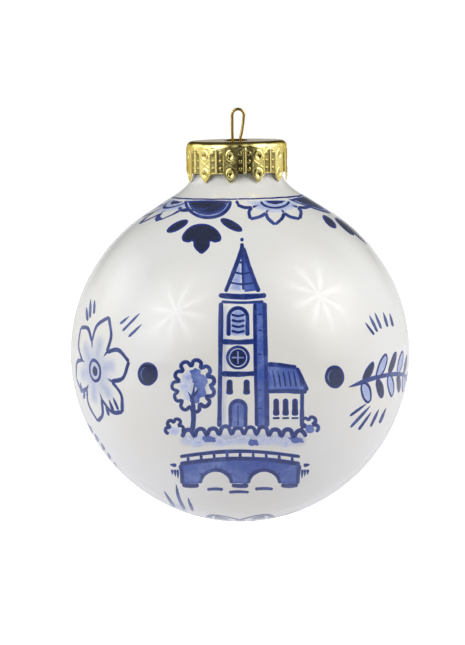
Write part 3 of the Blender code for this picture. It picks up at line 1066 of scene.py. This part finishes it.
# Bottom: an open flower round the pole, its petal tips just showing from the front.
pole = Pole()
PETALS = 8
for k in range(PETALS):
    a0 = 2 * math.pi * (k + 0.42) / PETALS
    w = math.pi / PETALS

    def at(r, a):
        return (r * math.sin(a), r * math.cos(a))

    outline = [at(6.4, a0 - w * 0.8), at(10.5, a0 - w * 0.9), at(13.6, a0 - w * 0.45), at(15.2, a0), at(13.6, a0 + w * 0.45), at(10.5, a0 + w * 0.9), at(6.4, a0 + w * 0.8)]
    lines.stroke(pole, outline, 1.15)
    fills.fill(pole, [at(10.8, a0 - w * 0.42), at(14.0, a0 - w * 0.12), at(14.0, a0 + w * 0.12), at(10.8, a0 + w * 0.42)], tone=0.3)
    lines.stroke(pole, [at(7.0, a0), at(9.6, a0)], 0.7, tip=(1, 0.2))
    wash_line(pole, [at(7.0, a0), at(9.5, a0)], 1.5, 0.3, 1.0)
fills.fill(pole, oval(0, 0, 2.6, 2.6, n=16))
lines.stroke(pole, oval(0, 0, 4.6, 4.6, n=24), 0.7, loop=True)
coats = [lines.build(LINE), fills.build(NAVY), washes.build(MID), tints.build(TINT)]
attr = ball.data.attributes.new("wash", "FLOAT", "POINT")
attr.data.foreach_set("value", np.clip(WASH, 0, 1).astype(np.float32))
ball.data.set_sharp_from_angle(angle=math.radians(50))


# Crown cap -------------------------------------------------------------------------
def tooth_drop(deg):
    u = np.abs(np.radians(deg)) * CAP_R
    u = np.sqrt(u * u + 0.0625) - 0.25
    t = np.maximum(0, 1 - u / 1.5)
    return CAP_TOOTH * t**0.92


def bead(d, w):
    """A rounded ridge: 1 on the line, 0 beyond w."""
    t = np.clip(1 - (d / w) ** 2, 0, 1)
    return t * t * (3 - 2 * t)


def segment(u, d, a, b):
    """Distance in mm from a line between two places on the skirt."""
    px_, py_ = u - a[0], d - a[1]
    vx, vy = b[0] - a[0], b[1] - a[1]
    t = np.clip((px_ * vx + py_ * vy) / (vx * vx + vy * vy), 0, 1)
    return np.hypot(px_ - t * vx, py_ - t * vy)


PITCH = 2 * math.pi * CAP_R / CAP_TEETH


def emboss(u, d):
    """Relief in mm at u mm from a tooth's middle and d mm below the top. Also how much painted shade it gets."""
    ridge = PITCH / 2 - np.abs(u)
    out = np.zeros_like(u * d)
    # Ridge between the teeth, with its arched panel and beads.
    stem = bead(ridge, 0.44) * np.clip((d - 1.2) / 0.5, 0, 1) * np.clip((7.45 - d) / 0.3, 0, 1)
    panel_top = 1.80 + 1.25 * (ridge / 1.75) ** 2
    in_panel = np.clip((1.78 - ridge) / 0.12, 0, 1) * np.clip((d - panel_top) / 0.14, 0, 1)
    # Painted shade: the sunk panel, away from the ridge, is marked for a darker colour.
    hollow = in_panel * (1 - bead(ridge, 0.5))
    out += 0.12 * stem - 0.06 * in_panel * (1 - stem)
    rim = np.minimum(np.abs(ridge - 1.78) + np.maximum(0, panel_top - d) * 2, np.abs(d - panel_top) + np.maximum(0, ridge - 1.78) * 2)
    out += 0.03 * bead(rim, 0.34) * np.clip((7.4 - d) / 0.3, 0, 1)
    for dd in (2.75, 4.55, 6.3):
        out += 0.15 * bead(np.hypot(ridge - 1.02, d - dd), 0.46)
    # Two oval rings on each tooth.
    for dd in (3.2, 7.45):
        e = np.hypot(u / 0.92, (d - dd) / 1.18)
        out += 0.11 * bead((e - 0.86) * 1.0, 0.30)
        dip = bead(e, 0.66)
        out -= 0.15 * dip
        # Painted shade: each ring's dip is marked for a darker colour too.
        hollow = np.maximum(hollow, dip * 0.9)
    # Crossed lines between them.
    for sx in (-1, 1):
        out += 0.035 * bead(segment(u, d, (-1.1 * sx, 4.5), (1.1 * sx, 6.1)), 0.26)
        out += 0.02 * bead(segment(u, d, (-1.35 * sx, 1.6), (-1.15 * sx, 4.3)), 0.26)
    out *= np.clip((d - 1.0) / 0.7, 0, 1)
    return out, hollow


def make_cap():
    per = 52
    n = CAP_TEETH * per
    deg = np.arange(n) / n * 360.0 + CAP_FIRST_TOOTH
    off = (deg - CAP_FIRST_TOOTH + 180 / CAP_TEETH) % (360 / CAP_TEETH) - 180 / CAP_TEETH
    drop = tooth_drop(off)
    u = np.radians(off) * CAP_R
    crumple = 0.035 * np.sin(np.radians(deg) * 5 + 1) + 0.03 * np.sin(np.radians(deg) * 13 + 2)
    rows_r, rows_z, hollow = [], [], []

    def ring(r, z, painted_shade=0.0):
        rows_r.append(np.broadcast_to(np.asarray(r, float), (n,)).copy())
        rows_z.append(np.broadcast_to(np.asarray(z, float), (n,)).copy())
        hollow.append(np.broadcast_to(np.asarray(painted_shade, float), (n,)).copy())

    def top_rows(skin):
        """Hole's lip and the flat top, `skin` mm under the outer face."""
        # The hole's lip, the flat top and the shoulder carry painted shade in the colour, a painted dark reflection
        # that fades out down the shoulder.
        for r, z in ((1.6, 0.26), (1.68, 0.30), (1.85, 0.31), (2.1, 0.28), (2.4, 0.18), (2.8, 0.05), (3.2, 0.0)):
            ring(r, z - skin, 1.2)
        for r in np.linspace(3.8, 9.3, 12):
            ring(r, -skin + (0.05 * math.exp(-(((r - 6.4) / 0.5) ** 2)) if not skin else 0), 1.2)
        for a in np.linspace(90, 8, 15):
            rr = CAP_SHOULDER_R - skin
            pinch = 0.05 * np.sin(np.radians(deg) * CAP_TEETH * 2) * math.cos(math.radians(a)) if not skin else 0
            ring(
                CAP_R - CAP_SHOULDER_R + rr * math.cos(math.radians(a)) + pinch,
                -CAP_SHOULDER_R + rr * math.sin(math.radians(a)),
                1.2 * min(1.0, max(0.0, (a - 22) / 30)),
            )

    def wall(skin, t):
        d0 = CAP_SHOULDER_R
        d = d0 + (CAP_VALLEY + drop - d0) * t
        lean = 0.1 * drop / CAP_TOOTH * t
        if skin:
            ring(CAP_R - skin - lean + crumple * t * 0.5, -d)
        else:
            e, painted_shade = emboss(u, d)
            soft = np.clip((1 - t) / 0.03, 0, 1)
            ring(CAP_R - lean + e * (0.35 + 0.65 * soft) + crumple * t * 0.5, -d, painted_shade)

    top_rows(0.0)
    steps = np.linspace(0, 1, 62)
    for t in steps:
        wall(0.0, t)
    for t in np.linspace(1, 0, 14):
        wall(CAP_SHEET, t)
    outer_rows = len(rows_r)
    kept = (rows_r, rows_z, hollow)
    rows_r, rows_z, hollow = [], [], []
    top_rows(CAP_SHEET)
    inner = [rows_r[::-1], rows_z[::-1], hollow[::-1]]
    rr = np.array(kept[0] + inner[0])
    zz = np.array(kept[1] + inner[1])
    hh = np.array(kept[2] + inner[2])
    a = np.radians(deg)
    verts = np.stack([rr * np.sin(a), -rr * np.cos(a), zz + CAP_TOP_Z], 2).reshape(-1, 3)
    m = len(rr)
    faces = []
    for j in range(m):
        jj = (j + 1) % m
        for i in range(n):
            k = (i + 1) % n
            faces.append((j * n + i, jj * n + i, jj * n + k, j * n + k))
    ob = mesh_object("pressed_cap", verts, faces, CAP_GOLD)
    # The "hollow" attribute holds the painted shade and painted dark reflection that the gold's colour reads.
    attr = ob.data.attributes.new("hollow", "FLOAT", "POINT")
    attr.data.foreach_set("value", hh.reshape(-1).astype(np.float32))
    ob.data.set_sharp_from_angle(angle=math.radians(60))
    return ob


cap = make_cap()
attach(cap, "cap")
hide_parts("crown_cap")


# Wire hanger -----------------------------------------------------------------------
def through(points, per):
    p = np.array(points, float)
    e = np.concatenate([2 * p[:1] - p[1:2], p, 2 * p[-1:] - p[-2:-1]])
    t = np.linspace(0, 1, per + 1)[:-1, None]
    out = []
    for i in range(1, len(e) - 2):
        a, b, c, d = e[i - 1], e[i], e[i + 1], e[i + 2]
        out.append(0.5 * (2 * b + (c - a) * t + (2 * a - 5 * b + 4 * c - d) * t**2 + (3 * b - a - 3 * c + d) * t**3))
    return np.concatenate(out + [p[-1:]])


def make_wire():
    reach = 7.15
    leg = through(
        [(0.95, -6.2), (0.95, -7.1), (1.2, -8.0), (2.55, -9.9), (4.55, -12.2), (reach - 0.65, -15.2),
         (reach, -19.0), (reach - 0.2, -23.0), (reach - 0.9, -27.2), (4.6, -33.2)], 9)
    cz = WIRE_R - LOOP_R
    a = np.radians(np.linspace(0, 180, 41))
    bend = np.stack([LOOP_X + LOOP_R * np.cos(a), cz + LOOP_R * np.sin(a)], 1)
    right = through([bend[0], (1.62, -2.9), (1.28, -4.9), (0.95, -6.2)], 8)
    left = through([bend[-1], (-0.95, -2.9), (-0.97, -4.9), (-0.95, -6.2)], 8)
    path = joined(leg[::-1], right[::-1], bend, left, leg * np.array([-1, 1]))
    s = np.concatenate([[0], np.cumsum(np.hypot(*np.diff(path, axis=0).T))])
    tangent = np.gradient(path, s, axis=0)
    tangent /= np.hypot(*tangent.T)[:, None]
    side = np.stack([tangent[:, 1], -tangent[:, 0]], 1)
    n, m = 24, len(path)
    ang = np.linspace(0, 2 * math.pi, n, endpoint=False)
    dent = 1 - 0.02 * (1 + waver(s, s[-1] / 9, 4))
    end = np.minimum(s, s[-1] - s)
    radius = WIRE_R * dent * np.sqrt(np.clip(1 - (1 - np.clip(end / 0.2, 0, 1)) ** 2 * 0.45, 0, 1))
    x = path[:, :1] + side[:, :1] * radius[:, None] * np.cos(ang)
    z = path[:, 1:] + side[:, 1:] * radius[:, None] * np.cos(ang)
    y = radius[:, None] * np.sin(ang) * np.ones((m, 1))
    verts = np.stack([x, y, z], 2).reshape(-1, 3)
    faces = []
    for j in range(m - 1):
        for i in range(n):
            k = (i + 1) % n
            faces.append((j * n + i, j * n + k, (j + 1) * n + k, (j + 1) * n + i))
    faces.append(tuple(range(n))[::-1])
    faces.append(tuple((m - 1) * n + i for i in range(n)))
    ob = mesh_object("sprung_wire", verts, faces, WIRE_GOLD)
    attr = ob.data.attributes.new("hollow", "FLOAT", "POINT")
    attr.data.foreach_set("value", np.zeros(len(verts), np.float32))
    ob.data.set_sharp_from_angle(angle=math.radians(50))
    return ob


wire = make_wire()
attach(wire, "hanger")
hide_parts("wire_hanger")
for ob in (ball, cap, wire, *coats):
    bm = bmesh.new()
    bm.from_mesh(ob.data)
    bmesh.ops.recalc_face_normals(bm, faces=bm.faces)
    bm.to_mesh(ob.data)
    bm.free()


# Stage and light -------------------------------------------------------------------
def make_floor():
    mesh = bpy.data.meshes.new("floor")
    z, rings = -0.235, (0.0, 0.3, 0.8, 2.0, 3.4)
    n = 96
    verts, faces = [(0, 0, z)], []
    for r in rings[1:]:
        verts += [(r * math.cos(2 * math.pi * i / n), r * math.sin(2 * math.pi * i / n), z) for i in range(n)]
    for i in range(n):
        faces.append((0, 1 + i, 1 + (i + 1) % n))
    for j in range(len(rings) - 2):
        for i in range(n):
            k = (i + 1) % n
            faces.append((1 + j * n + i, 1 + (j + 1) * n + i, 1 + (j + 1) * n + k, 1 + j * n + k))
    mesh.from_pydata(verts, [], faces)
    mat = bpy.data.materials.new("pale_floor")
    mat.use_nodes = True
    n_ = Nodes(mat.node_tree)
    out = n_.new("ShaderNodeOutputMaterial")
    co = n_.coords()
    dist = n_.new("ShaderNodeVectorMath", operation="LENGTH")
    n_.link(co, dist.inputs[0])
    # Painted shadow: the floor is greyer and glows less near the middle, under the ball, and is whiter and glows more
    # further out.
    far = n_.range(dist.outputs["Value"], 0.28, 0.62, 0.0, 1.0, smooth=True)
    shown = n_.new("ShaderNodeBsdfDiffuse")
    n_.put(shown.inputs["Color"], n_.mix(far, lin((222, 223, 228)), lin((250, 250, 250))))
    glow = n_.new("ShaderNodeEmission")
    n_.put(glow.inputs["Strength"], n_.math("ADD", n_.math("MULTIPLY", far, 0.52), 0.12))
    seen = n_.new("ShaderNodeAddShader")
    n_.link(shown.outputs[0], seen.inputs[0])
    n_.link(glow.outputs[0], seen.inputs[1])
    # What the object is lit by is dimmer than what is seen, most of all in front.
    sep = n_.new("ShaderNodeSeparateXYZ")
    n_.link(co, sep.inputs[0])
    front = n_.range(n_.math("MULTIPLY", sep.outputs[1], -1.0), 0.25, 0.9, 0, 1, smooth=True)
    lit = n_.new("ShaderNodeBsdfDiffuse")
    n_.put(lit.inputs["Color"], n_.mix(front, (0.89, 0.89, 0.94, 1), (0.24, 0.24, 0.26, 1)))
    pick = n_.new("ShaderNodeMixShader")
    n_.link(n_.new("ShaderNodeLightPath").outputs["Is Camera Ray"], pick.inputs[0])
    n_.link(lit.outputs[0], pick.inputs[1])
    n_.link(seen.outputs[0], pick.inputs[2])
    n_.link(pick.outputs[0], out.inputs[0])
    mesh.materials.append(mat)
    ob = bpy.data.objects.new("floor", mesh)
    scene.collection.objects.link(ob)


make_floor()


def direction(right, up, toward):
    v = RIGHT * right + UP * up - FWD * toward
    return v.normalized()


def make_world():
    world = bpy.data.worlds.new("studio")
    scene.world = world
    world.use_nodes = True
    n = Nodes(world.node_tree)
    out = n.new("ShaderNodeOutputWorld")
    bg = n.new("ShaderNodeBackground")
    d = n.new("ShaderNodeTexCoord").outputs["Generated"]
    sep = n.new("ShaderNodeSeparateXYZ")
    n.link(d, sep.inputs[0])
    x, y, z = sep.outputs
    # Pale round the horizon and bright to the sides; a dim room overhead, dimmest in front.
    ax = n.math("ABSOLUTE", x)
    side = n.range(ax, 0.36, 0.74, 0, 1, smooth=True)
    side = n.math("MULTIPLY", side, n.range(z, 0.46, 0.72, 1, 0, smooth=True))
    high = n.range(z, 0.06, 0.26, 0, 1, smooth=True)
    dome = n.math("ADD", n.math("MULTIPLY", side, 1.03), 0.20)
    base = n.math("ADD", n.math("MULTIPLY", dome, high), n.math("MULTIPLY", n.math("SUBTRACT", 1.0, high), 0.98))
    toward = n.math("MULTIPLY", y, -1.0)
    front = n.range(toward, 0.48, 0.78, 0, 1, smooth=True)
    base = n.math("MULTIPLY", base, n.math("SUBTRACT", 1.0, n.math("MULTIPLY", front, 0.92)))
    base = n.math("MULTIPLY", base, n.math("SUBTRACT", 1.0, n.range(y, 0.2, 0.8, 0, 0.24, smooth=True)))
    total = base

    def umbrella(vec, peak, half_deg, power, star=0.0, core=0.0):
        """A soft light: a wide glow, eight bright ribs close in, and a small hot middle."""
        nonlocal total
        c = n.vec("DOT_PRODUCT", d, tuple(vec))

        def disc(deg, p):
            t = n.range(c, math.cos(math.radians(deg)), 1.0, 0.0, 1.0)
            return n.math("POWER", t, p)

        total = n.math("ADD", total, n.math("MULTIPLY", disc(half_deg, power), peak))
        if star:
            t1 = vec.cross(Vector((0, 0, 1))).normalized()
            t2 = vec.cross(t1).normalized()
            phi = n.math("ARCTAN2", n.vec("DOT_PRODUCT", d, tuple(t1)), n.vec("DOT_PRODUCT", d, tuple(t2)))
            rib = n.math("ABSOLUTE", n.math("COSINE", n.math("MULTIPLY", phi, 4.0)))
            rib = n.math("POWER", rib, 6.0)
            total = n.math("ADD", total, n.math("MULTIPLY", n.math("MULTIPLY", disc(27, 1.7), rib), star))
        if core:
            total = n.math("ADD", total, n.math("MULTIPLY", disc(4.5, 2.2), core))

    umbrella(direction(-0.665, 0.443, 0.599), 2.3, 43, 1.75, 2.5, 0.3)
    umbrella(direction(0.754, 0.560, 0.342), 2.4, 43, 1.75, 3.2, 0.8)
    umbrella(direction(-0.842, 0.476, -0.256), 0.9, 18, 0.7)
    n.link(total, bg.inputs["Strength"])
    bg.inputs["Color"].default_value = (1, 1, 1, 1)
    white = n.new("ShaderNodeBackground")
    white.inputs["Color"].default_value = (1, 1, 1, 1)
    white.inputs["Strength"].default_value = 1.05
    pick = n.new("ShaderNodeMixShader")
    n.link(n.new("ShaderNodeLightPath").outputs["Is Camera Ray"], pick.inputs[0])
    n.link(bg.outputs[0], pick.inputs[1])
    n.link(white.outputs[0], pick.inputs[2])
    n.link(pick.outputs[0], out.inputs[0])
    world.cycles.sampling_method = "MANUAL"
    world.cycles.sample_map_resolution = 1024


make_world()
